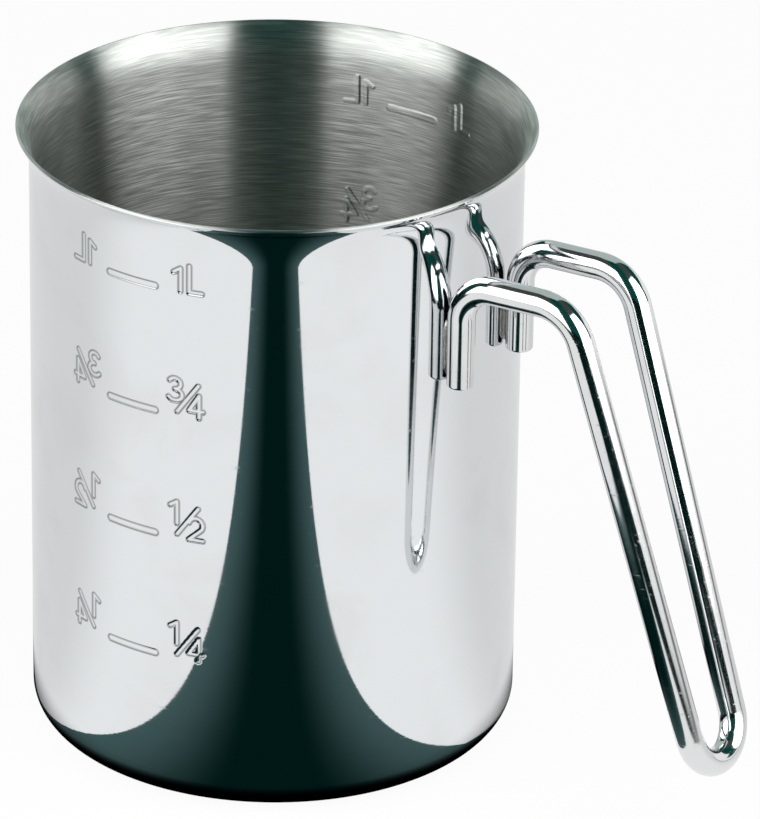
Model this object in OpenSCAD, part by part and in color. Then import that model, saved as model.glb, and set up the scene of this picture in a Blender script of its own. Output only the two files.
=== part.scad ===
// Measuring jug: a cup drawn from one steel sheet, with an out-turned lip all round and
// volume marks pressed into its wall, and a handle bent from one length of steel wire,
// whose two legs are welded to the wall.
// Millimetres. The origin is on the table at the middle of the base, +Z is up, and the
// handle stands out along +X. One set of marks faces -Y and the other +Y.

/* [Cup] */
// Inside width of the cup
cup_inner_d = 104.8; // [95:0.2:120]
// Thickness of the steel sheet
sheet = 0.8; // [0.6:0.1:1.2]
// Height of the rim above the table
rim_h = 139.5; // [132:0.5:160]
// Outside radius of the corner between the wall and the base
corner_r = 6; // [4:0.5:9]

/* [Lip] */
// Bend radius of the lip, on its outer face
lip_r = 10.4; // [6:0.2:11]
// Angle through which the lip turns outward
lip_turn = 43; // [30:1:50]

/* [Base] */
// Width of the flat ring that the jug stands on
foot_w = 2; // [1:0.5:5]
// Height of the pushed-up middle of the base, to the underside of the sheet
base_rise = 8.5; // [5.5:0.5:10]
// Slope of the side of the push-up
base_slope = 75; // [45:1:80]
// Inside radius of the two folds of the push-up
base_fold_r = 2; // [1:0.25:2.5]

/* [Volume marks] */
// Volume from one mark to the next, in millilitres
mark_volume = 250; // [200:5:260]
// Length of the bar at each mark
bar_l = 13.2; // [9:0.2:16]
// Thickness of the bar
bar_w = 1.5; // [1:0.1:2]
// Depth of the pressing: a groove outside and a ridge inside
press_depth = 0.2; // [0.1:0.05:0.4]
// Width of the strokes of the numerals
stroke_w = 1; // [0.6:0.1:1.2]
// Gap between the bar and its numerals
numeral_gap = 2.5; // [1.5:0.1:4]
// Width of a digit
digit_w = 3; // [2.2:0.1:3.6]
// Height of a digit
digit_h = 5.2; // [4:0.1:6]
// Gap between the digits of a fraction
digit_gap = 1.5; // [1:0.1:2.5]
// Height of a fraction's upper digit above its lower one
digit_lift = 3.3; // [2:0.1:4.5]

/* [Handle] */
// Diameter of the wire
wire_d = 6; // [4.5:0.25:7]
// Distance between the middles of the two legs
leg_spread = 22.7; // [20:0.1:30]
// Length of a leg, from its lower end to the line of the top run
leg_l = 23.7; // [17:0.1:40]
// Distance from the rim down to the corner of a leg and its top run
leg_drop = 18.8; // [15:0.1:40]
// Distance from a leg out to the corner of the top run and the grip
reach = 27.3; // [23:0.1:40]
// Angle by which the top run rises outward
top_rise = 3; // [0.5:0.5:10]
// Lean of the grip away from the wall
grip_lean = 18.2; // [8:0.1:25]
// Angle by which each side of the grip closes in towards the loop
grip_close = 1.7; // [0.5:0.1:2.5]
// Height of the middle of the wire at the bottom of the loop
loop_h = 21.1; // [12:0.1:50]
// Bend radius at the top of a leg, to the middle of the wire
leg_bend_r = 8.4; // [5.5:0.1:10]
// Bend radius at the top of the grip, to the middle of the wire
grip_bend_r = 9.8; // [6:0.1:13]

/* [Welds] */
// Thickness of the weld metal between a leg and the wall
weld_t = 0.4; // [0.3:0.05:0.6]
// Width of a weld
weld_w = 2.4; // [1.5:0.1:3.5]
// Distance from the lower end of a leg up to its weld
weld_inset = 1.5; // [0.5:0.1:4]

/* [Hidden] */
$fn = 96;
// Straight pieces that stand for each round stretch of an outline
arc_steps = 12;
// Straight pieces that stand for the round end and for the curl of a pressed stroke
end_steps = 4;
curl_steps = 6;
// How far a cut runs past the face that it opens
overrun = 1;
// How far a straight stretch of the wire runs into its bends
wire_lap = 0.3;
// How much fuller the wire is at its bends
bend_fullness = 0.01;
// Fineness of the round faces that the thin welds lie against
weld_fn = 256;
// Height of the foot of the slanting stroke, and its setting in from the upper digit
slash_lift = 0.8;
slash_inset = 1.9;
// Width and height of the slanting stroke
slash_w = 4.6;
slash_h = 6.7;
// Width and height of the letter for litres
litre_w = 2.7;
litre_h = 6;
mark_count = 4;
mm3_per_ml = 1000;

inner_r = cup_inner_d / 2;
outer_r = inner_r + sheet;

// Centres of the sheet's round stretches
corner_c = [outer_r - corner_r, corner_r];
lip_c = [outer_r + lip_r, rim_h - (lip_r + sheet) * sin(lip_turn)];
fold_span = 2 * base_fold_r + sheet;
fold_run = (fold_span * (1 - cos(base_slope)) + base_rise * cos(base_slope)) / sin(base_slope);
low_fold_c = [corner_c[0] - foot_w, base_fold_r + sheet];
high_fold_c = [low_fold_c[0] - fold_run, base_rise - base_fold_r];

function arc(centre, r, from, to, steps = arc_steps) =
    [for (i = [0:steps]) let (a = from + (to - from) * i / steps) centre + r * [cos(a), sin(a)]];
function reverse(points) = [for (i = [len(points) - 1:-1:0]) points[i]];
function unit(v) = v / norm(v);

// The sheet's line at a depth from its outer skin, from the axis to the wall's foot
function base_line(depth) = concat(
    [[0, base_rise + depth]],
    arc(high_fold_c, base_fold_r + depth, 90, 90 - base_slope),
    arc(low_fold_c, base_fold_r + sheet - depth, -90 - base_slope, -90),
    arc(corner_c, corner_r - depth, -90, 0));
// The same line carried up the wall and round the lip
function sheet_line(depth) = concat(
    base_line(depth),
    arc(lip_c, lip_r + depth, 180, 180 - lip_turn));

// Volume inside the cup below a level on its straight wall
function frustum(a, b) = PI / 3 * (a[0] * a[0] + a[0] * b[0] + b[0] * b[0]) * (b[1] - a[1]);
function volume_to(level) =
    let (line = concat(base_line(sheet), [[inner_r, level]]))
    [for (i = [0:len(line) - 2]) frustum(line[i], line[i + 1])] * [for (i = [0:len(line) - 2]) 1];
// Level at which the cup holds a number of marks' volumes
floor_h = max(base_rise + sheet, corner_r);
function mark_h(count) =
    floor_h + (count * mark_volume * mm3_per_ml - volume_to(floor_h)) / (PI * inner_r * inner_r);

// Strokes of the numerals, as shares of a digit's width and height
function curl(centre, half, from, to) =
    [for (p = arc([0, 0], 1, from, to, curl_steps)) centre + [half[0] * p[0], half[1] * p[1]]];
one_shares = [[[0.1, 0.8], [0.62, 1]], [[0.62, 1], [0.62, 0]]];
two_shares = [concat(curl([0.5, 0.68], [0.5, 0.32], 165, -35), [[0, 0]]), [[0, 0], [1, 0]]];
three_shares = [curl([0.45, 0.76], [0.45, 0.24], 150, -90), curl([0.45, 0.26], [0.55, 0.26], 90, -150)];
four_shares = [[[0.72, 1], [0, 0.3]], [[0, 0.3], [1, 0.3]], [[0.72, 1], [0.72, 0]]];
litre_shares = [[[0, 1], [0, 0]], [[0, 0], [1, 0]]];
slash_shares = [[[0, 0], [1, 1]]];
upper_shares = [one_shares, one_shares, three_shares];
lower_shares = [four_shares, two_shares, four_shares];

// One side of a stroke of even width along a line of points
function stroke_side(p, side) = [for (i = [0:len(p) - 1])
    let (a = unit(p[max(i, 1)] - p[max(i, 1) - 1]))
    let (b = unit(p[min(i, len(p) - 2) + 1] - p[min(i, len(p) - 2)]))
    p[i] + side * stroke_w / 2 * [-a[1] - b[1], a[0] + b[0]] / (1 + a * b)];
function heading(a, b) = atan2(b[1] - a[1], b[0] - a[0]);
function round_end(a, b) =
    let (turn = heading(a, b))
    arc(b, stroke_w / 2, turn + 90, turn - 90, end_steps);

module stroke(p) {
    last = len(p) - 1;
    polygon(concat(
        stroke_side(p, 1),
        round_end(p[last - 1], p[last]),
        reverse(stroke_side(p, -1)),
        round_end(p[1], p[0])));
}

module glyph(strokes, size)
    for (line = strokes)
        stroke([for (p = line) [p[0] * size[0], p[1] * size[1]]]);

module fraction(upper, lower) {
    translate([0, digit_lift]) glyph(upper, [digit_w, digit_h]);
    translate([slash_inset, slash_lift]) glyph(slash_shares, [slash_w, slash_h]);
    translate([digit_w + digit_gap, 0]) glyph(lower, [digit_w, digit_h]);
}

module one_litre() {
    translate([digit_gap / 2, 0]) glyph(one_shares, [digit_w, digit_h]);
    translate([digit_w + digit_gap, 0]) glyph(litre_shares, [litre_w, litre_h]);
}

// The bar of one mark, with its numerals to the right and, mirrored, to the left
module mark(count) {
    half = (bar_l - bar_w) / 2;
    polygon(concat(
        arc([half, 0], bar_w / 2, -90, 90, end_steps),
        arc([-half, 0], bar_w / 2, 90, 270, end_steps)));
    for (side = [0, 1])
        mirror([side, 0])
            translate([bar_l / 2 + numeral_gap, 0])
                if (count == mark_count) one_litre();
                else fraction(upper_shares[count - 1], lower_shares[count - 1]);
}

// Both sets of marks, as wide as a ring of the wall
module marks(from_r, to_r)
    intersection() {
        for (turn = [0, 180])
            rotate([0, 0, turn])
                rotate([90, 0, 0])
                    linear_extrude(outer_r + overrun)
                        for (count = [1:mark_count])
                            translate([0, mark_h(count)])
                                mark(count);
        difference() {
            cylinder(r = to_r, h = rim_h);
            translate([0, 0, -overrun]) cylinder(r = from_r, h = rim_h + 2 * overrun);
        }
    }

module jug_body()
    color("silver")
    difference() {
        union() {
            rotate_extrude()
                polygon(concat(sheet_line(0), reverse(sheet_line(sheet))));
            marks(inner_r - press_depth, inner_r + sheet / 4);
        }
        marks(outer_r - press_depth, outer_r + overrun);
    }

wire_r = wire_d / 2;
rod_r = wire_r - bend_fullness;

// Where the legs stand against the wall
leg_from_axis = outer_r + weld_t + rod_r;
leg_turn = asin(leg_spread / 2 / leg_from_axis);
leg_x = leg_from_axis * cos(leg_turn);
leg_y = leg_spread / 2;
leg_top = [leg_x, leg_y, rim_h - leg_drop];
leg_end = leg_top - [0, 0, leg_l];
grip_top = leg_top + reach * [1, 0, tan(top_rise)];

// The loop's round end, in the leaning plane of the grip
grip_down = [sin(grip_lean), 0, -cos(grip_lean)];
grip_l = (grip_top[2] - loop_h) / cos(grip_lean);
loop_c_l = (grip_l - leg_y * cos(grip_close)) / (1 - sin(grip_close));
loop_r = leg_y * cos(grip_close) - loop_c_l * sin(grip_close);
loop_c = [grip_top[0], 0, grip_top[2]] + loop_c_l * grip_down;
loop_end = loop_c + loop_r * (sin(grip_close) * grip_down + [0, cos(grip_close), 0]);

function across(u, v) = unit(v - (v * u) * u);
function turn_about(axis, a, b) = atan2(axis * cross(a, b), a * b);
function rest(list) = [for (i = [1:1:len(list) - 1]) list[i]];

// Wire from the first point to the last, bent at each point between. It is drawn from the
// origin along +Z, where x_axis is the direction of +X and used_l is the length of the
// first stretch that the bend before it has taken up.
module bent_wire(points, radii, x_axis, used_l = 0) {
    u = unit(points[1] - points[0]);
    span = norm(points[1] - points[0]) - used_l;
    if (len(points) == 2) {
        translate([0, 0, -wire_lap]) cylinder(r = rod_r, h = span + wire_lap);
    } else {
        v = unit(points[2] - points[1]);
        bend = acos(u * v);
        r = radii[0];
        bend_l = r * tan(bend / 2);
        straight_l = span - bend_l;
        translate([0, 0, -wire_lap]) cylinder(r = rod_r, h = straight_l + 2 * wire_lap);
        translate([0, 0, straight_l])
            rotate([0, 0, turn_about(u, x_axis, across(u, v))]) {
                translate([r, 0, 0])
                    rotate([90, 0, 180])
                        rotate_extrude(angle = bend) translate([r, 0]) circle(wire_r);
                translate([r, 0, 0])
                    rotate([0, bend, 0])
                        translate([-r, 0, 0])
                            bent_wire(rest(points), rest(radii), across(v, -u), bend_l);
            }
    }
}

module handle_wire()
    color("gainsboro")
    translate(loop_c)
    rotate([0, -grip_lean, 0]) {
        rotate([90, 0, 90])
            rotate([0, 0, 180 + grip_close])
                rotate_extrude(angle = 180 - 2 * grip_close) translate([loop_r, 0]) circle(wire_r);
        for (side = [0, 1])
            mirror([0, side, 0])
                rotate([-grip_close, 0, 0])
                    translate([0, loop_r, 0])
                        bent_wire([loop_end, grip_top, leg_top, leg_end], [grip_bend_r, leg_bend_r],
                            [cos(grip_lean), 0, sin(grip_lean)]);
    }

weld_h = leg_l - leg_bend_r * tan(45 - top_rise / 2) - 2 * weld_inset;

// Weld metal that fills the narrow space between a leg and the wall
module leg_weld(side)
    color("darkgray")
    difference() {
        rotate([0, 0, side * leg_turn])
            translate([outer_r - sheet, -weld_w / 2, leg_end[2] + weld_inset])
                cube([sheet + weld_t + rod_r, weld_w, weld_h]);
        cylinder(r = outer_r, h = rim_h, $fn = weld_fn);
        translate([leg_x, side * leg_y, 0]) cylinder(r = rod_r, h = rim_h, $fn = weld_fn);
    }

module left_leg_weld() leg_weld(-1);
module right_leg_weld() leg_weld(1);

jug_body();
handle_wire();
left_leg_weld();
right_leg_weld();
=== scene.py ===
import math

import bmesh
import bpy
import numpy as np
from mathutils import Matrix, Vector


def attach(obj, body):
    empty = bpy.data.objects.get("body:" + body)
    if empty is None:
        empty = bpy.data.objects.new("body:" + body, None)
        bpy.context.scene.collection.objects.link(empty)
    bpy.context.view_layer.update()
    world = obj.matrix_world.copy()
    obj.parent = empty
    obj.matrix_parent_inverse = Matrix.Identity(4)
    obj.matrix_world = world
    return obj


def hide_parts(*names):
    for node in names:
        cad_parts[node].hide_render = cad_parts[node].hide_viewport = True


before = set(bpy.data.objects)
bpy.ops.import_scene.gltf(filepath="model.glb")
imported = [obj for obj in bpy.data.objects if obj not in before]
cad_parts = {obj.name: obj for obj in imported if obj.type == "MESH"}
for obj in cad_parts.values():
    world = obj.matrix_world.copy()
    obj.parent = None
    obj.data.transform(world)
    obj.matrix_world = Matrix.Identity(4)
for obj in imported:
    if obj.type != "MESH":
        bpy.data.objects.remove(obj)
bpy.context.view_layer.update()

# Cup: the sheet's two skins, the lip and the pushed-up base
SHEET = 0.0008
INNER_R = 0.0524
OUTER_R = 0.0532
CORNER_C = (0.0472, 0.006)
OUTER_CORNER_STEPS = 14
INNER_CORNER_STEPS = 12
RIM_H = 0.1395
LIP_START_H = 0.1298
LIP_RISE = 0.009254
LIP_TURN = 43.9
LIP_EASE = 1.7
LIP_SPANS = 10
# Height at which the lip's painted sheen and extra roughness are full
LIP_SHINE_H = RIM_H - 0.002
EDGE_ROUND = 0.00025
EDGE_STEPS = 4
BASE_RISE = 0.0085
BASE_SLOPE = 75
FOLD_R = 0.002
FOLD_STEPS = 6
HIGH_FOLD_C = (0.03924, 0.0065)
LOW_FOLD_C = (0.0452, 0.0028)
TURN_STEPS = 192
MERGE_GAP = 0.000001
INSIDE_H = 0.1
NEAR_AXIS = 0.0005

# Volume marks, pressed into the wall from outside
MARK_LEVELS = (0.03559, 0.06457, 0.09355, 0.12253)
BAR_L = 0.0132
BAR_W = 0.0015
STROKE_W = 0.001
PRESS_DEPTH = 0.00013
SHOULDER = 0.00033
STEEPEST = 0.75 * PRESS_DEPTH / SHOULDER
SLOPE_STEP = 0.00002
NUMERAL_START = 0.0091
DIGIT_W = 0.003
DIGIT_H = 0.0052
DIGIT_GAP = 0.0015
DIGIT_LIFT = 0.0033
SLASH_START = (0.0019, 0.0008)
SLASH_SIZE = (0.0046, 0.0067)
LITRE_SIZE = (0.0027, 0.006)
CURL_STEPS = 12
ROW_BELOW = 0.0019
ROW_ABOVE = 0.0096
TOP_ROW_ABOVE = 0.0070
ROW_SPANS = 6
CUT_REACH = 0.0012
MARK_CUTS = 6

# Handle: one length of round wire
WIRE_R = 0.003
LEG_X = 0.05544
LEG_Y = 0.01135
LEG_END_H = 0.097
LEG_TOP_H = 0.1207
GRIP_TOP = (0.08274, 0.12213)
LEG_BEND_R = 0.0084
GRIP_BEND_R = 0.0098
LOOP_C = (0.11332, 0.0, 0.02912)
LOOP_R = 0.00844
GRIP_LEAN = 18.2
GRIP_CLOSE = 1.7
WIRE_SIDES = 48
WIRE_END_ROUND = 0.0005
RUN_SHARES = (0.04, 0.92, 0.04)
BEND_STEPS = 24
LOOP_STEPS = 48

# Welds between the legs and the wall
WELD_FOOT_H = 0.0985
WELD_H = 0.0127
WELD_HALF_W = 0.00132
WELD_CUTS = 9
WELD_HOLLOW = 0.22
WELD_RIPPLE = 0.05
WELD_RIPPLE_TURN = 22.0
WELD_END_SHARE = 0.35
INTO_WALL = 0.00005
INTO_WIRE = 0.00006

# Camera and softboxes; aside, forward and turns are seen from the camera's side
CAMERA_TURN = math.radians(34.76)
CAMERA_AT = (0.79010, -1.13850, 0.75441)
CAMERA_TILT = (63.7502, -0.7708, 34.1947)
CAMERA_SENSOR = 36.0
CAMERA_LENS = 311.29
SOFTBOX_ASIDE = 0.797
SOFTBOX_FORWARD = 0.517
SOFTBOX_H = 0.80
SOFTBOX_SIZE = (1.258, 1.4)
SOFTBOX_LEVEL = 2.7
WORLD_LEVEL = 0.1

# Floor and the cards on it
FLOOR_H = -0.0006
FLOOR_HALF = 4.0
FLOOR_GLOW = 0.94
CLOTH_H = -0.0003
# FOOT_SHADE: the ring round the jug's foot where mirrors see the floor and cloths painted black, a
# painted shadow
FOOT_SHADE = (0.0530, 0.0660)
FAR_FLOOR = (0.30, 0.60)
# Painted shade that mirrors see on the floor beside and behind the jug, out to the far floor
SIDE_FLOOR = (math.radians(60), math.radians(95))
SIDE_FLOOR_SHADE = 0.80
BAND_FADE = (0.014, 0.060)
GREY_FADE = (0.45, 0.75)


def new_piece(name, bm, materials):
    """Turns a finished bmesh into an object at the origin."""
    mesh = bpy.data.meshes.new(name)
    bm.to_mesh(mesh)
    bm.free()
    mesh.polygons.foreach_set("use_smooth", [True] * len(mesh.polygons))
    for material in materials:
        mesh.materials.append(material)
    piece = bpy.data.objects.new(name, mesh)
    bpy.context.scene.collection.objects.link(piece)
    return piece


# Materials


class Nodes:
    """Adds and joins nodes in one node tree."""

    def __init__(self, tree):
        self.tree = tree

    def add(self, kind, **settings):
        node = self.tree.nodes.new(kind)
        for key, value in settings.items():
            setattr(node, key, value)
        return node

    def join(self, source, target):
        self.tree.links.new(source, target)

    def give(self, value, socket):
        """Sets a plain number on a socket, or joins another node's output to it."""
        if isinstance(value, (int, float)):
            socket.default_value = value
        else:
            self.join(value, socket)

    def math(self, operation, first, second=None):
        node = self.add("ShaderNodeMath", operation=operation)
        self.give(first, node.inputs[0])
        if second is not None:
            self.give(second, node.inputs[1])
        return node.outputs[0]

    def total(self, start, *parts):
        """Adds parts to a start value, each times its own weight."""
        for value, weight in parts:
            start = self.math("ADD", start, self.math("MULTIPLY", value, weight))
        return start

    def from_middle(self, x, y):
        """Distance from the upright axis."""
        squares = self.math("ADD", self.math("MULTIPLY", x, x), self.math("MULTIPLY", y, y))
        return self.math("SQRT", squares)

    def spread(self, value, low, high, new_low=0.0, new_high=1.0):
        """Takes the stretch from low to high smoothly over to a new one."""
        node = self.add("ShaderNodeMapRange", interpolation_type="SMOOTHSTEP")
        self.join(value, node.inputs["Value"])
        node.inputs["From Min"].default_value = low
        node.inputs["From Max"].default_value = high
        node.inputs["To Min"].default_value = new_low
        node.inputs["To Max"].default_value = new_high
        return node.outputs["Result"]

    def place(self):
        return self.add("ShaderNodeTexCoord").outputs["Object"]

    def apart(self, vector):
        node = self.add("ShaderNodeSeparateXYZ")
        self.join(vector, node.inputs[0])
        return node.outputs

    def noise(self, vector, scale, detail, distortion=0.0):
        node = self.add("ShaderNodeTexNoise")
        self.join(vector, node.inputs["Vector"])
        self.give(scale, node.inputs["Scale"])
        node.inputs["Detail"].default_value = detail
        node.inputs["Distortion"].default_value = distortion
        return node.outputs["Fac"]

    def effect(self, group, values):
        """Places a node group with its own values."""
        node = self.add("ShaderNodeGroup", node_tree=group)
        for socket, value in values.items():
            node.inputs[socket].default_value = value
        return node.outputs


def new_group(name, inputs, outputs):
    """An empty shader node group with float inputs and float outputs."""
    group = bpy.data.node_groups.new(name, "ShaderNodeTree")
    for socket, value in inputs.items():
        made = group.interface.new_socket(socket, in_out="INPUT", socket_type="NodeSocketFloat")
        made.default_value = value
    for socket in outputs:
        group.interface.new_socket(socket, in_out="OUTPUT", socket_type="NodeSocketFloat")
    nodes = Nodes(group)
    return group, nodes, nodes.add("NodeGroupInput").outputs, nodes.add("NodeGroupOutput").inputs


def lines_round_the_cup():
    """Lines that run round the cup's axis, as brushing leaves them, thin ones over broad ones."""
    group, nodes, given, result = new_group(
        "lines_round_the_cup", {"Lines per Metre": 3000.0, "Run": 2.0}, ["Line"])
    x, y, z = nodes.apart(nodes.place())
    from_axis = nodes.math("MAXIMUM", nodes.from_middle(x, y), NEAR_AXIS)
    along_x = nodes.math("MULTIPLY", nodes.math("DIVIDE", x, from_axis), given["Run"])
    along_y = nodes.math("MULTIPLY", nodes.math("DIVIDE", y, from_axis), given["Run"])
    across = nodes.math("MULTIPLY", nodes.math("SUBTRACT", z, from_axis), given["Lines per Metre"])
    layers = []
    for width, share in ((1.0, 0.7), (2.7, 0.3)):
        point = nodes.add("ShaderNodeCombineXYZ")
        nodes.join(along_x, point.inputs[0])
        nodes.join(along_y, point.inputs[1])
        nodes.join(nodes.math("DIVIDE", across, width), point.inputs[2])
        layers.append((nodes.noise(point.outputs[0], scale=1.0, detail=1.0), share))
    nodes.join(nodes.total(0.0, *layers), result["Line"])
    return group


def handling_marks():
    """Soft smudges and thin hairlines that handling leaves on polished steel."""
    group, nodes, given, result = new_group(
        "handling_marks", {"Smudge Scale": 40.0, "Hairline Scale": 60.0}, ["Smudge", "Hairline"])
    place = nodes.place()
    smudge = nodes.noise(place, given["Smudge Scale"], detail=4.0, distortion=0.6)
    nodes.join(nodes.spread(smudge, 0.45, 0.75), result["Smudge"])
    hairlines = []
    for turn, stretch in (((0.3, 0.2, 0.5), 22.0), ((0.9, -0.6, 1.9), 26.0)):
        mapping = nodes.add("ShaderNodeMapping")
        mapping.inputs["Rotation"].default_value = turn
        mapping.inputs["Scale"].default_value = (1.0, stretch, stretch)
        nodes.join(place, mapping.inputs["Vector"])
        noise = nodes.noise(mapping.outputs["Vector"], given["Hairline Scale"], detail=1.0)
        hairlines.append(nodes.spread(noise, 0.70, 0.76))
    nodes.join(nodes.math("MAXIMUM", *hairlines), result["Hairline"])
    return group


ROUND_LINES = lines_round_the_cup()
HANDLING = handling_marks()


def new_material(name):
    material = bpy.data.materials.new(name)
    material.use_nodes = True
    return material, Nodes(material.node_tree)


def new_steel(name):
    """A bare metal material, with its nodes and its shader."""
    material, nodes = new_material(name)
    shader = material.node_tree.nodes["Principled BSDF"]
    shader.inputs["Metallic"].default_value = 1.0
    return material, nodes, shader


def tinted(nodes, shader, plain, *marked):
    """Base colour that goes from plain to each marked colour by its mask."""
    under = None
    for mask, tone in marked:
        mix = nodes.add("ShaderNodeMix", data_type="RGBA")
        nodes.join(mask, mix.inputs["Factor"])
        mix.inputs["B"].default_value = (*tone, 1.0)
        if under is None:
            mix.inputs["A"].default_value = (*plain, 1.0)
        else:
            nodes.join(under, mix.inputs["A"])
        under = mix.outputs["Result"]
    nodes.join(under, shader.inputs["Base Color"])


def bumped(nodes, shader, height, distance):
    bump = nodes.add("ShaderNodeBump")
    bump.inputs["Distance"].default_value = distance
    nodes.join(height, bump.inputs["Height"])
    nodes.join(bump.outputs["Normal"], shader.inputs["Normal"])


def polished_sheet():
    """Mirror-polished outside of the cup: polishing lines, smudges, scuffs where it stands, and
    painted shade on the flanks of the pressed marks.
    """
    material, nodes, shader = new_steel("polished_sheet")
    line = nodes.effect(ROUND_LINES, {"Lines per Metre": 2600.0, "Run": 2.5})["Line"]
    marks = nodes.effect(HANDLING, {"Smudge Scale": 45.0, "Hairline Scale": 30.0})
    groove = nodes.add("ShaderNodeAttribute", attribute_name="groove").outputs["Fac"]
    height = nodes.apart(nodes.place())[2]
    scuff = nodes.spread(height, 0.0001, 0.0012, 1.0, 0.0)
    scuff = nodes.math("MULTIPLY", scuff, nodes.spread(line, 0.35, 0.65, 0.3, 1.0))
    rough = nodes.total(
        0.035, (marks["Smudge"], 0.025), (marks["Hairline"], 0.05), (scuff, 0.25), (groove, 0.12))
    nodes.join(rough, shader.inputs["Roughness"])
    # The steep flanks of the pressed marks are painted dark, a painted shade; the same mask also makes
    # them a little rougher.
    tinted(
        nodes, shader, (0.77, 0.79, 0.805),
        (marks["Smudge"], (0.735, 0.75, 0.76)), (groove, (0.17, 0.18, 0.18)))
    bumped(nodes, shader, line, distance=0.000002)
    return material


def brushed_sheet():
    """Inside of the cup, brushed round its axis, with a painted sheen and a little more roughness on
    the lip.
    """
    material, nodes, shader = new_steel("brushed_sheet")
    around = nodes.add("ShaderNodeTangent", direction_type="RADIAL", axis="Z")
    nodes.join(around.outputs["Tangent"], shader.inputs["Tangent"])
    shader.inputs["Anisotropic"].default_value = 1.0
    shader.inputs["Anisotropic Rotation"].default_value = 0.25
    line = nodes.effect(ROUND_LINES, {"Lines per Metre": 7500.0, "Run": 7.0})["Line"]
    smudge = nodes.effect(HANDLING, {"Smudge Scale": 30.0})["Smudge"]
    height = nodes.apart(nodes.place())[2]
    lip_roughness_and_sheen = nodes.spread(height, LIP_START_H, LIP_SHINE_H)
    rough = nodes.total(nodes.spread(line, 0.35, 0.75, 0.29, 0.36), (smudge, 0.04), (lip_roughness_and_sheen, 0.04))
    nodes.join(rough, shader.inputs["Roughness"])
    # The lip is painted lighter than the rest of the inside, a painted sheen, over the real tone of
    # the brushing grain.
    grain_and_lip_sheen = nodes.total(nodes.spread(line, 0.36, 0.72), (lip_roughness_and_sheen, 0.15))
    tinted(nodes, shader, (0.39, 0.405, 0.39), (grain_and_lip_sheen, (0.71, 0.73, 0.70)))
    bumped(nodes, shader, line, distance=0.000004)
    return material


def polished_wire():
    """Polished wire of the handle, a little more handled than the cup."""
    material, nodes, shader = new_steel("polished_wire")
    marks = nodes.effect(HANDLING, {"Smudge Scale": 90.0, "Hairline Scale": 50.0})
    rough = nodes.total(0.085, (marks["Smudge"], 0.05), (marks["Hairline"], 0.06))
    nodes.join(rough, shader.inputs["Roughness"])
    tinted(nodes, shader, (0.74, 0.75, 0.755), (marks["Smudge"], (0.70, 0.705, 0.70)))
    bumped(nodes, shader, marks["Hairline"], distance=0.000004)
    return material


def weld_metal():
    """Satin weld metal with a grainy skin and a faint straw tint."""
    material, nodes, shader = new_steel("weld_metal")
    grain = nodes.effect(HANDLING, {"Smudge Scale": 900.0})["Smudge"]
    nodes.join(nodes.total(0.28, (grain, 0.2)), shader.inputs["Roughness"])
    tinted(nodes, shader, (0.60, 0.59, 0.57), (grain, (0.48, 0.44, 0.38)))
    bumped(nodes, shader, grain, distance=0.00004)
    return material


# Cup


def lip_arcs():
    """Centre, radius and turn of the lip's short arcs. It opens slowly at first and then faster."""
    spot = Vector((OUTER_R, LIP_START_H))
    arcs = []
    for span in range(LIP_SPANS):
        start = math.radians(LIP_TURN * (span / LIP_SPANS) ** LIP_EASE)
        end = math.radians(LIP_TURN * ((span + 1) / LIP_SPANS) ** LIP_EASE)
        radius = LIP_RISE / LIP_SPANS / (math.sin(end) - math.sin(start))
        centre = spot + radius * Vector((math.cos(start), -math.sin(start)))
        spot = centre + radius * Vector((-math.cos(end), math.sin(end)))
        if span == LIP_SPANS - 1:
            end -= EDGE_ROUND / (radius + SHEET / 2)
        arcs.append((centre, radius, math.degrees(end - start)))
    return arcs


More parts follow.
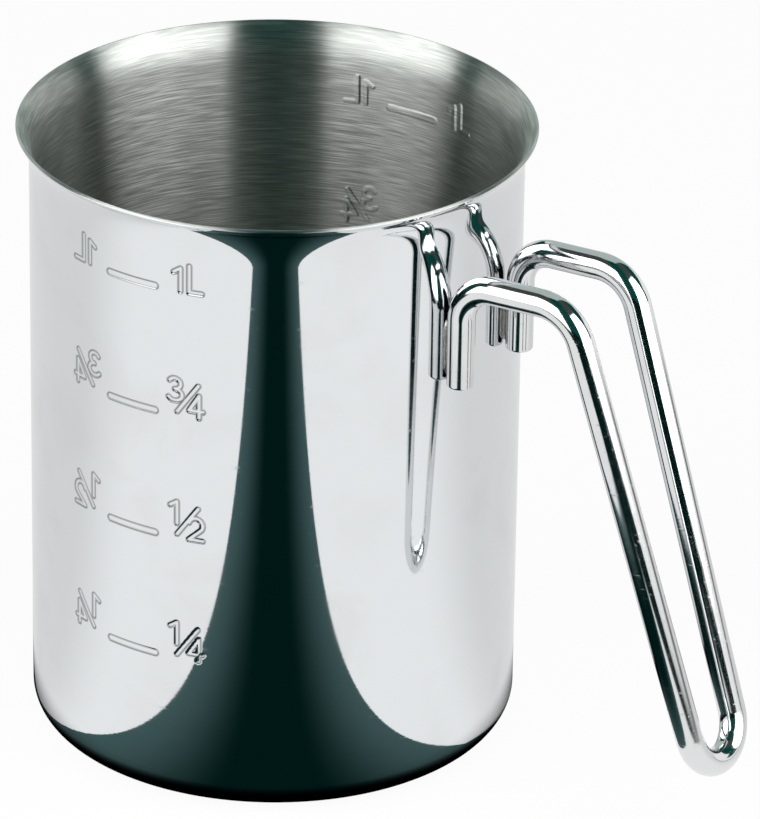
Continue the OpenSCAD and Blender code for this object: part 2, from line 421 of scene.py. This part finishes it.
def sheet_section(bm):
    """Draws the cup's section in the XZ plane: out along the outer skin, back along the inner one."""
    out = bm.verts.layers.float.new("faces_out")
    rise = bm.verts.layers.float.new("faces_up")

    def face(vert, across, up):
        size = math.hypot(across, up)
        vert[out] = across / size
        vert[rise] = up / size

    def line(pen, r, z):
        made = bmesh.ops.extrude_vert_indiv(bm, verts=[pen])["verts"][0]
        made.co = (r, 0.0, z)
        made[out] = pen[out]
        made[rise] = pen[rise]
        return made

    def arc(pen, centre, turn, steps, hollow):
        known = len(bm.verts)
        last = bmesh.ops.spin(
            bm, geom=[pen], cent=(centre[0], 0.0, centre[1]), axis=(0.0, 1.0, 0.0),
            angle=math.radians(turn), steps=steps, use_merge=False)["geom_last"]
        bm.verts.ensure_lookup_table()
        side = -1.0 if hollow else 1.0
        for vert in bm.verts[known:]:
            face(vert, side * (vert.co.x - centre[0]), side * (vert.co.z - centre[1]))
        return next(item for item in last if isinstance(item, bmesh.types.BMVert))

    def skin_rows(pen, radius, levels):
        for level in levels:
            pen = line(pen, radius, level)
        return pen

    rows = []
    for level in MARK_LEVELS:
        above = TOP_ROW_ABOVE if level == MARK_LEVELS[-1] else ROW_ABOVE
        band = ROW_BELOW + above
        rows += [level - ROW_BELOW + band * i / ROW_SPANS for i in range(ROW_SPANS + 1)]
    lip = lip_arcs()
    fold_r = FOLD_R + SHEET
    low = math.radians(90 + BASE_SLOPE)
    high = math.radians(90 - BASE_SLOPE)

    pen = bmesh.ops.create_vert(bm, co=(0.0, 0.0, BASE_RISE))["vert"][0]
    face(pen, 0.0, -1.0)
    pen = line(pen, HIGH_FOLD_C[0], BASE_RISE)
    pen = arc(pen, HIGH_FOLD_C, BASE_SLOPE, FOLD_STEPS, True)
    pen = line(pen, LOW_FOLD_C[0] + fold_r * math.cos(low), LOW_FOLD_C[1] - fold_r * math.sin(low))
    pen = arc(pen, LOW_FOLD_C, -BASE_SLOPE, FOLD_STEPS, False)
    pen = line(pen, CORNER_C[0], 0.0)
    pen = arc(pen, CORNER_C, -90, OUTER_CORNER_STEPS, False)
    pen = skin_rows(pen, OUTER_R, rows + [LIP_START_H])
    for centre, radius, turn in lip:
        pen = arc(pen, centre, turn, 1, True)
    tip = math.radians(180.0 - sum(turn for _, _, turn in lip))
    inward = Vector((math.cos(tip), math.sin(tip)))
    near = centre + inward * (radius + EDGE_ROUND)
    far = centre + inward * (radius + SHEET - EDGE_ROUND)
    pen = arc(pen, near, -90, EDGE_STEPS, False)
    step = far - near
    pen = line(pen, pen.co.x + step.x, pen.co.z + step.y)
    pen = arc(pen, far, -90, EDGE_STEPS, False)
    for centre, radius, turn in lip[::-1]:
        pen = arc(pen, centre, -turn, 1, False)
    pen = skin_rows(pen, INNER_R, rows[::-1] + [CORNER_C[1]])
    pen = arc(pen, CORNER_C, 90, INNER_CORNER_STEPS, True)
    pen = line(pen, LOW_FOLD_C[0], SHEET)
    pen = arc(pen, LOW_FOLD_C, BASE_SLOPE, FOLD_STEPS, True)
    pen = line(pen, HIGH_FOLD_C[0] + fold_r * math.cos(high), HIGH_FOLD_C[1] + fold_r * math.sin(high))
    pen = arc(pen, HIGH_FOLD_C, -BASE_SLOPE, FOLD_STEPS, False)
    line(pen, 0.0, BASE_RISE + SHEET)


def curl(centre, half, start, end):
    """A round stretch of a digit, in shares of its size."""
    turns = [math.radians(start + (end - start) * i / CURL_STEPS) for i in range(CURL_STEPS + 1)]
    return [(centre[0] + half[0] * math.cos(t), centre[1] + half[1] * math.sin(t)) for t in turns]


ONE = [[(0.1, 0.8), (0.62, 1.0)], [(0.62, 1.0), (0.62, 0.0)]]
TWO = [curl((0.5, 0.68), (0.5, 0.32), 165, -35) + [(0.0, 0.0)], [(0.0, 0.0), (1.0, 0.0)]]
THREE = [curl((0.45, 0.76), (0.45, 0.24), 150, -90), curl((0.45, 0.26), (0.55, 0.26), 90, -150)]
FOUR = [[(0.72, 1.0), (0.0, 0.3)], [(0.0, 0.3), (1.0, 0.3)], [(0.72, 1.0), (0.72, 0.0)]]
LITRE_LETTER = [[(0.0, 1.0), (0.0, 0.0)], [(0.0, 0.0), (1.0, 0.0)]]
SLANT = [[(0.0, 0.0), (1.0, 1.0)]]
FRACTIONS = ((ONE, FOUR), (ONE, TWO), (THREE, FOUR))


def mark_strokes():
    """Every straight stretch of the pressed strokes: both ends and the half width."""
    strokes = []

    def glyph(lines, corner, size):
        for points in lines:
            placed = [(corner[0] + p[0] * size[0], corner[1] + p[1] * size[1]) for p in points]
            for a, b in zip(placed, placed[1:]):
                for side in (1.0, -1.0):
                    strokes.append((side * a[0], a[1], side * b[0], b[1], STROKE_W / 2))

    half = (BAR_L - BAR_W) / 2
    second = NUMERAL_START + DIGIT_W + DIGIT_GAP
    digit = (DIGIT_W, DIGIT_H)
    for row, level in enumerate(MARK_LEVELS):
        strokes.append((-half, level, half, level, BAR_W / 2))
        if row < len(FRACTIONS):
            upper, lower = FRACTIONS[row]
            glyph(upper, (NUMERAL_START, level + DIGIT_LIFT), digit)
            glyph(SLANT, (NUMERAL_START + SLASH_START[0], level + SLASH_START[1]), SLASH_SIZE)
            glyph(lower, (second, level), digit)
        else:
            glyph(ONE, (NUMERAL_START + DIGIT_GAP / 2, level), digit)
            glyph(LITRE_LETTER, (second, level), LITRE_SIZE)
    return np.array(strokes)


STROKES = mark_strokes()


def edge_distance(across, level):
    """Distance of each point to the nearest stroke's edge, below zero inside the stroke."""
    nearest = np.full(len(across), 1.0)
    for ax, az, bx, bz, half in STROKES:
        run = np.array((bx - ax, bz - az))
        along = ((across - ax) * run[0] + (level - az) * run[1]) / (run @ run)
        along = np.clip(along, 0.0, 1.0)
        gap = np.hypot(across - ax - along * run[0], level - az - along * run[1]) - half
        nearest = np.minimum(nearest, gap)
    return nearest


def press(across, level):
    """Depth of the pressing at each point, with soft shoulders."""
    share = np.clip((SHOULDER - edge_distance(across, level)) / (2 * SHOULDER), 0.0, 1.0)
    return PRESS_DEPTH * share * share * (3.0 - 2.0 * share)


def cut_for_marks(bm):
    """Cuts the wall finely around the marks, on both skins."""
    low = MARK_LEVELS[0] - ROW_BELOW
    high = MARK_LEVELS[-1] + TOP_ROW_ABOVE
    wall = [f for f in bm.faces if low < f.calc_center_median().z < high and abs(f.normal.z) < 0.1]
    middle = np.array([f.calc_center_median() for f in wall])
    side = np.where(middle[:, 1] < 0.0, 1.0, -1.0)
    near = edge_distance(side * middle[:, 0], middle[:, 2]) < SHOULDER + CUT_REACH
    edges = dict.fromkeys(e for f, marked in zip(wall, near) if marked for e in f.edges)
    bmesh.ops.subdivide_edges(bm, edges=list(edges), cuts=MARK_CUTS, use_grid_fill=True)


def shape_wall(mesh):
    """Presses the marks into the mesh, notes their slopes for the grooves' roughness and painted
    shade, and gives each point its true direction.
    """
    count = len(mesh.vertices)
    points = np.zeros(count * 3)
    mesh.vertices.foreach_get("co", points)
    points = points.reshape(-1, 3)
    faces_out = np.zeros(count)
    faces_up = np.zeros(count)
    mesh.attributes["faces_out"].data.foreach_get("value", faces_out)
    mesh.attributes["faces_up"].data.foreach_get("value", faces_up)
    radius = np.hypot(points[:, 0], points[:, 1])
    turn = np.arctan2(points[:, 1], points[:, 0])
    outward = np.stack((np.cos(turn), np.sin(turn), np.zeros(count)), 1)
    around = np.stack((-np.sin(turn), np.cos(turn), np.zeros(count)), 1)
    upward = np.array((0.0, 0.0, 1.0))
    level = points[:, 2]
    wall = (level > CORNER_C[1]) & (level < LIP_START_H) & (radius > INNER_R - SHEET)
    skin = np.where(faces_out > 0.0, OUTER_R, INNER_R)
    side = np.where(points[:, 1] < 0.0, 1.0, -1.0)
    across = side * points[:, 0]
    depth = np.where(wall, press(across, level), 0.0)
    ahead = press(across + SLOPE_STEP, level)
    behind = press(across - SLOPE_STEP, level)
    slope_across = (ahead - behind) / (2 * SLOPE_STEP)
    slope_around = np.where(wall, slope_across * side * -np.sin(turn), 0.0)
    above = press(across, level + SLOPE_STEP)
    below = press(across, level - SLOPE_STEP)
    slope_up = np.where(wall, (above - below) / (2 * SLOPE_STEP), 0.0)
    steep = np.clip(np.hypot(slope_around, slope_up) / STEEPEST, 0.0, 1.0)
    # The flanks' steepness is kept as the mask for the grooves' roughness and their painted shade.
    groove = mesh.attributes.new("groove", "FLOAT", "POINT")
    groove.data.foreach_set("value", steep * steep)
    plain = faces_out[:, None] * outward + faces_up[:, None] * upward
    way = np.where(faces_out > 0.0, 1.0, -1.0)[:, None]
    pressed = way * (outward + slope_around[:, None] * around + slope_up[:, None] * upward)
    facing = np.where(wall[:, None], pressed, plain)
    facing /= np.linalg.norm(facing, axis=1)[:, None]
    radius = np.where(wall, skin - depth, radius)
    points[:, 0] = radius * np.cos(turn)
    points[:, 1] = radius * np.sin(turn)
    mesh.vertices.foreach_set("co", points.ravel())
    mesh.attributes.remove(mesh.attributes["faces_out"])
    mesh.attributes.remove(mesh.attributes["faces_up"])
    mesh.update()
    mesh.normals_split_custom_set_from_vertices(facing.tolist())


def make_cup():
    bm = bmesh.new()
    sheet_section(bm)
    bmesh.ops.spin(
        bm, geom=bm.verts[:] + bm.edges[:], cent=(0.0, 0.0, 0.0), axis=(0.0, 0.0, 1.0),
        angle=2.0 * math.pi, steps=TURN_STEPS, use_merge=True)
    bmesh.ops.remove_doubles(bm, verts=bm.verts[:], dist=MERGE_GAP)
    bmesh.ops.recalc_face_normals(bm, faces=bm.faces[:])
    bm.normal_update()
    cut_for_marks(bm)
    bm.normal_update()
    inside = Vector((0.0, 0.0, INSIDE_H))
    for face in bm.faces:
        middle = face.calc_center_median()
        if middle.z < LIP_START_H:
            brushed = face.normal.dot(inside - middle) > 0.0
        else:
            brushed = face.normal.z > 0.0
        face.material_index = 1 if brushed else 0
    piece = new_piece("cup", bm, [polished_sheet(), brushed_sheet()])
    shape_wall(piece.data)
    return piece


# Handle


def make_wire():
    """Bends the wire from one leg's end to the other's, one straight run and one bend at a time."""
    bm = bmesh.new()
    lean = math.radians(GRIP_LEAN)
    close = math.radians(GRIP_CLOSE)
    down = Vector((math.sin(lean), 0.0, -math.cos(lean)))
    loop_c = Vector(LOOP_C)
    leg_end = Vector((LEG_X, LEG_Y, LEG_END_H))
    bmesh.ops.create_circle(
        bm, segments=WIRE_SIDES, radius=WIRE_R, matrix=Matrix.Translation(leg_end))
    first = bm.edges[:]

    def run(edges, to_go):
        for share in RUN_SHARES:
            made = bmesh.ops.extrude_edge_only(bm, edges=edges)["geom"]
            ring = [g for g in made if isinstance(g, bmesh.types.BMVert)]
            bmesh.ops.translate(bm, verts=ring, vec=to_go * share)
            edges = [g for g in made if isinstance(g, bmesh.types.BMEdge)
                     and all(v in ring for v in g.verts)]
        return edges

    def bend(edges, centre, axis, angle, steps):
        made = bmesh.ops.spin(
            bm, geom=edges, cent=centre, axis=axis, angle=angle, steps=steps, use_merge=False)
        return [g for g in made["geom_last"] if isinstance(g, bmesh.types.BMEdge)]

    def half_way(points, bends, edges):
        at = points[0]
        for here, beyond, radius in zip(points[1:], points[2:], bends):
            u = (here - at).normalized()
            v = (beyond - here).normalized()
            angle = u.angle(v)
            start = here - u * radius * math.tan(angle / 2)
            edges = run(edges, start - at)
            inward = (v - v.dot(u) * u).normalized()
            edges = bend(edges, start + inward * radius, u.cross(v), angle, BEND_STEPS)
            at = here + v * radius * math.tan(angle / 2)
        return run(edges, points[-1] - at)

    corners = [
        leg_end,
        Vector((LEG_X, LEG_Y, LEG_TOP_H)),
        Vector((GRIP_TOP[0], LEG_Y, GRIP_TOP[1])),
        loop_c + LOOP_R * (math.sin(close) * down + Vector((0.0, math.cos(close), 0.0))),
    ]
    back = [Vector((p.x, -p.y, p.z)) for p in corners[::-1]]
    radii = (LEG_BEND_R, GRIP_BEND_R)
    loop_axis = Vector((0.0, 1.0, 0.0)).cross(down)
    last = half_way(corners, radii, first)
    last = bend(last, loop_c, loop_axis, math.pi - 2 * close, LOOP_STEPS)
    last = half_way(back, radii[::-1], last)
    for edges in (first, last):
        bmesh.ops.edgeloop_fill(bm, edges=edges)
    bmesh.ops.recalc_face_normals(bm, faces=bm.faces[:])
    bmesh.ops.bevel(
        bm, geom=first + last, offset=WIRE_END_ROUND, segments=4, profile=0.5, affect="EDGES",
        material=-1)
    return new_piece("handle", bm, [polished_wire()])


def make_weld(name, side, metal):
    """Weld metal between a leg and the wall: hollow sides, round ends and low ripples along it."""
    bm = bmesh.new()
    bmesh.ops.create_cube(bm, size=1.0)
    bmesh.ops.subdivide_edges(bm, edges=bm.edges[:], cuts=WELD_CUTS, use_grid_fill=True)
    leg_r = math.hypot(LEG_X, LEG_Y)
    leg_turn = side * math.atan2(LEG_Y, LEG_X)
    for vert in bm.verts:
        depth = vert.co.x + 0.5
        across = 2.0 * vert.co.y
        along = 2.0 * vert.co.z
        round_end = math.sqrt(max(0.0, 1.0 - abs(along) ** 8))
        width = WELD_END_SHARE + (1.0 - WELD_END_SHARE) * round_end
        ripple = 1.0 + WELD_RIPPLE * math.sin(along * WELD_RIPPLE_TURN)
        hollow = 1.0 - WELD_HOLLOW * math.sin(math.pi * depth)
        y = across * WELD_HALF_W * hollow * ripple * width
        wall_x = math.sqrt(OUTER_R ** 2 - y * y) - INTO_WALL
        wire_x = leg_r - math.sqrt((WIRE_R - INTO_WIRE) ** 2 - y * y)
        z = WELD_FOOT_H + WELD_H * (along + 1.0) / 2
        vert.co = (wall_x + (wire_x - wall_x) * depth, y, z)
    turned = Matrix.Rotation(leg_turn, 3, "Z")
    bmesh.ops.rotate(bm, verts=bm.verts[:], cent=(0.0, 0.0, 0.0), matrix=turned)
    bmesh.ops.recalc_face_normals(bm, faces=bm.faces[:])
    return new_piece(name, bm, [metal])


# Stage


def on_stage(aside, forward, height):
    """A point by its way to the camera's right, its way towards the camera and its height."""
    to_right = Vector((math.cos(CAMERA_TURN), math.sin(CAMERA_TURN), 0.0))
    to_camera = Vector((math.sin(CAMERA_TURN), -math.cos(CAMERA_TURN), 0.0))
    return to_right * aside + to_camera * forward + Vector((0.0, 0.0, height))


def stage_piece(name, bm, material):
    piece = new_piece(name, bm, [material])
    return piece


def places_on_the_floor():
    """Turn from the camera's side, way aside, far floor, and the floor clear of the painted shadow
    round the jug's foot.
    """
    group, nodes, _, result = new_group(
        "places_on_the_floor", {}, ["Turn", "Aside", "Far", "Clear of Foot Shadow"])
    turned = nodes.add("ShaderNodeMapping", vector_type="POINT")
    turned.inputs["Rotation"].default_value = (0.0, 0.0, -CAMERA_TURN)
    nodes.join(nodes.place(), turned.inputs["Vector"])
    to_right, to_back, _ = nodes.apart(turned.outputs["Vector"])
    aside = nodes.math("ABSOLUTE", to_right)
    forward = nodes.math("MULTIPLY", to_back, -1.0)
    away = nodes.from_middle(aside, forward)
    nodes.join(nodes.math("ARCTAN2", aside, forward), result["Turn"])
    nodes.join(aside, result["Aside"])
    nodes.join(nodes.spread(away, *FAR_FLOOR), result["Far"])
    nodes.join(nodes.spread(away, *FOOT_SHADE), result["Clear of Foot Shadow"])
    return group


FLOOR_PLACES = places_on_the_floor()


def pale_floor():
    """Pale paper. It is white to the camera and still takes the object's shadow. To mirrors it is
    white, with painted shade beside and behind the jug and a painted shadow round its foot.
    """
    material, nodes = new_material("pale_paper")
    shader = material.node_tree.nodes["Principled BSDF"]
    shader.inputs["Base Color"].default_value = (0.95, 0.95, 0.95, 1.0)
    shader.inputs["Roughness"].default_value = 0.9
    shader.inputs["Specular IOR Level"].default_value = 0.0
    places = nodes.effect(FLOOR_PLACES, {})
    # Mirrors see the floor in painted shade beside and behind the jug, near it, and in a painted
    # shadow round its foot.
    painted_shade = nodes.spread(places["Turn"], *SIDE_FLOOR, 1.0, SIDE_FLOOR_SHADE)
    painted_shade = nodes.math("MAXIMUM", painted_shade, places["Far"])
    painted_shade = nodes.math("MULTIPLY", painted_shade, places["Clear of Foot Shadow"])
    path = nodes.add("ShaderNodeLightPath").outputs
    mirrored = nodes.math("MAXIMUM", path["Is Glossy Ray"], path["Is Transmission Ray"])
    seen = nodes.math("MAXIMUM", path["Is Camera Ray"], mirrored)
    tone = nodes.add("ShaderNodeMix", data_type="FLOAT")
    nodes.join(mirrored, tone.inputs["Factor"])
    tone.inputs["A"].default_value = 1.0
    nodes.join(painted_shade, tone.inputs["B"])
    glow = nodes.add("ShaderNodeEmission")
    nodes.join(tone.outputs["Result"], glow.inputs["Color"])
    mix = nodes.add("ShaderNodeMixShader")
    nodes.join(nodes.math("MULTIPLY", seen, FLOOR_GLOW), mix.inputs["Fac"])
    nodes.join(shader.outputs[0], mix.inputs[1])
    nodes.join(glow.outputs[0], mix.inputs[2])
    nodes.join(mix.outputs[0], material.node_tree.nodes["Material Output"].inputs["Surface"])
    bm = bmesh.new()
    bmesh.ops.create_grid(bm, x_segments=1, y_segments=1, size=FLOOR_HALF)
    bmesh.ops.translate(bm, verts=bm.verts[:], vec=(0.0, 0.0, FLOOR_H))
    stage_piece("floor", bm, material)


def new_cloth(name):
    """What mirrors see of a card: its material, its nodes and the glow that gives its colour."""
    material, nodes = new_material(name)
    material.node_tree.nodes.remove(material.node_tree.nodes["Principled BSDF"])
    glow = nodes.add("ShaderNodeEmission")
    nodes.join(glow.outputs[0], material.node_tree.nodes["Material Output"].inputs["Surface"])
    return material, nodes, glow


def plain_cloth(name, colour):
    material, _, glow = new_cloth(name)
    glow.inputs["Color"].default_value = (*colour, 1.0)
    return material


def fading_cloth(name, middle, side, fade):
    """Cloth of one colour in the middle and another to the sides, with a painted shadow in black round
    the jug's foot.
    """
    material, nodes, glow = new_cloth(name)
    places = nodes.effect(FLOOR_PLACES, {})
    tone = nodes.add("ShaderNodeMix", data_type="RGBA")
    nodes.join(nodes.spread(places["Aside"], *fade), tone.inputs["Factor"])
    tone.inputs["A"].default_value = (*middle, 1.0)
    tone.inputs["B"].default_value = (*side, 1.0)
    # The cloth is painted black round the jug's foot: a painted shadow.
    shaded = nodes.add("ShaderNodeVectorMath", operation="SCALE")
    nodes.join(tone.outputs["Result"], shaded.inputs[0])
    nodes.join(places["Clear of Foot Shadow"], shaded.inputs["Scale"])
    nodes.join(shaded.outputs[0], glow.inputs["Color"])
    return material


def card(name, cloth, corners):
    """A card by its corners aside, forward and up. Only mirrors see it, and it shades nothing."""
    bm = bmesh.new()
    verts = [bmesh.ops.create_vert(bm, co=on_stage(*c))["vert"][0] for c in corners]
    bmesh.ops.contextual_create(bm, geom=verts)
    piece = stage_piece(name, bm, cloth)
    piece.visible_camera = False
    piece.visible_diffuse = False
    piece.visible_shadow = False


def level_card(name, cloth, aside, forward, height):
    card(name, cloth, [(a, f, height) for a in aside for f in forward])


def upright_card(name, cloth, start, end, low, high):
    """An upright card over two points of the floor, given aside and forward."""
    card(name, cloth, [(*point, height) for point in (start, end) for height in (low, high)])


def mirror_cards():
    """The dark and pale cards round the jug that give its bare metal something to mirror."""
    runner = fading_cloth("runner_cloth", (0.0004, 0.0115, 0.0105), (0.060, 0.112, 0.114), BAND_FADE)
    black = fading_cloth("black_cloth", (0.001, 0.011, 0.009), (0.001, 0.013, 0.011), BAND_FADE)
    teal = fading_cloth("teal_cloth", (0.002, 0.058, 0.046), (0.002, 0.062, 0.050), BAND_FADE)
    pale_grey = fading_cloth("pale_grey_cloth", (0.82, 0.82, 0.82), (0.15, 0.16, 0.16), GREY_FADE)
    grey = plain_cloth("grey_cloth", (0.055, 0.065, 0.062))
    pale = plain_cloth("pale_cloth", (0.50, 0.58, 0.56))

    low = [(-0.60, 1.2, 0.3), (0.60, 1.2, 0.3)]
    front = [(-0.44, 1.2, 1.3), (0.46, 1.2, 1.3)]
    middle = [(-0.20, -0.2, 1.3), (0.22, -0.2, 1.3)]
    rear = [(-0.80, -1.2, 1.3), (0.80, -1.2, 1.3)]
    level_card("runner", runner, (-0.057, 0.053), (-0.38, 0.40), CLOTH_H)
    level_card("near_dark", black, (-0.72, 0.80), (0.40, 1.2), CLOTH_H)
    upright_card("front_card", black, (-0.72, 1.2), (0.80, 1.2), 0.0, 0.3)
    card("front_high_card", teal, low + front)
    card("overhead_card", teal, front + middle)
    card("slope_card", pale, middle + rear)
    upright_card("rear_card", pale, (-0.80, -1.2), (0.80, -1.2), 0.0, 1.3)
    upright_card("low_card", black, (0.30, 1.1), (0.85, 1.0), 0.0, 0.12)
    level_card("right_near", pale_grey, (0.45, 1.6), (-0.32, 0.40), CLOTH_H)
    level_card("right_far", pale_grey, (0.80, 1.6), (0.40, 1.3), CLOTH_H)
    level_card("ceiling", grey, (-2.6, 2.6), (-2.6, 2.6), 2.1)
    for way, side in ((-1.0, "left"), (1.0, "right")):
        painted_shade = (way * 1.3, 0.05)
        behind = (way * 1.3, -0.36)
        upright_card(side + "_card", teal, painted_shade, behind, 0.2, 1.6)
        upright_card(side + "_rear_card", teal, behind, (way * 0.8, -1.2), 0.60, 1.6)


def softbox(name, way):
    """A soft light to one side of the camera, turned to the jug's axis."""
    data = bpy.data.lights.new(name, "AREA")
    data.shape = "RECTANGLE"
    data.size = SOFTBOX_SIZE[0]
    data.size_y = SOFTBOX_SIZE[1]
    data.energy = SOFTBOX_LEVEL * math.pi * SOFTBOX_SIZE[0] * SOFTBOX_SIZE[1]
    light = bpy.data.objects.new(name, data)
    bpy.context.scene.collection.objects.link(light)
    light.location = on_stage(way * SOFTBOX_ASIDE, SOFTBOX_FORWARD, SOFTBOX_H)
    light.visible_camera = False
    to_axis = Vector((0.0, 0.0, SOFTBOX_H)) - light.location
    light.rotation_euler = to_axis.to_track_quat("-Z", "Y").to_euler()


def white_world():
    """White to the camera and to mirrors, and a faint light on everything else."""
    world = bpy.data.worlds.new("soft_white")
    bpy.context.scene.world = world
    world.use_nodes = True
    nodes = Nodes(world.node_tree)
    back = world.node_tree.nodes["Background"]
    back.inputs["Color"].default_value = (1.0, 1.0, 1.0, 1.0)
    path = nodes.add("ShaderNodeLightPath").outputs
    seen = nodes.math("MAXIMUM", path["Is Camera Ray"], path["Is Glossy Ray"])
    seen = nodes.math("MAXIMUM", seen, path["Is Transmission Ray"])
    nodes.join(nodes.spread(seen, 0.0, 1.0, WORLD_LEVEL, 1.0), back.inputs["Strength"])


def set_camera():
    data = bpy.data.cameras.new("camera")
    data.sensor_width = CAMERA_SENSOR
    data.lens = CAMERA_LENS
    camera = bpy.data.objects.new("camera", data)
    bpy.context.scene.collection.objects.link(camera)
    camera.location = CAMERA_AT
    camera.rotation_euler = [math.radians(a) for a in CAMERA_TILT]
    bpy.context.scene.camera = camera


def finish_piece(piece, node):
    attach(piece, "root")
    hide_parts(node)


set_camera()
bpy.context.scene.view_settings.view_transform = "Standard"
bpy.context.scene.cycles.max_bounces = 12
bpy.context.scene.cycles.glossy_bounces = 3
finish_piece(make_cup(), "jug_body")
finish_piece(make_wire(), "handle_wire")
weld_finish = weld_metal()
finish_piece(make_weld("left_weld", -1, weld_finish), "left_leg_weld")
finish_piece(make_weld("right_weld", 1, weld_finish), "right_leg_weld")

pale_floor()
mirror_cards()
white_world()
softbox("left_softbox", -1.0)
softbox("right_softbox", 1.0)
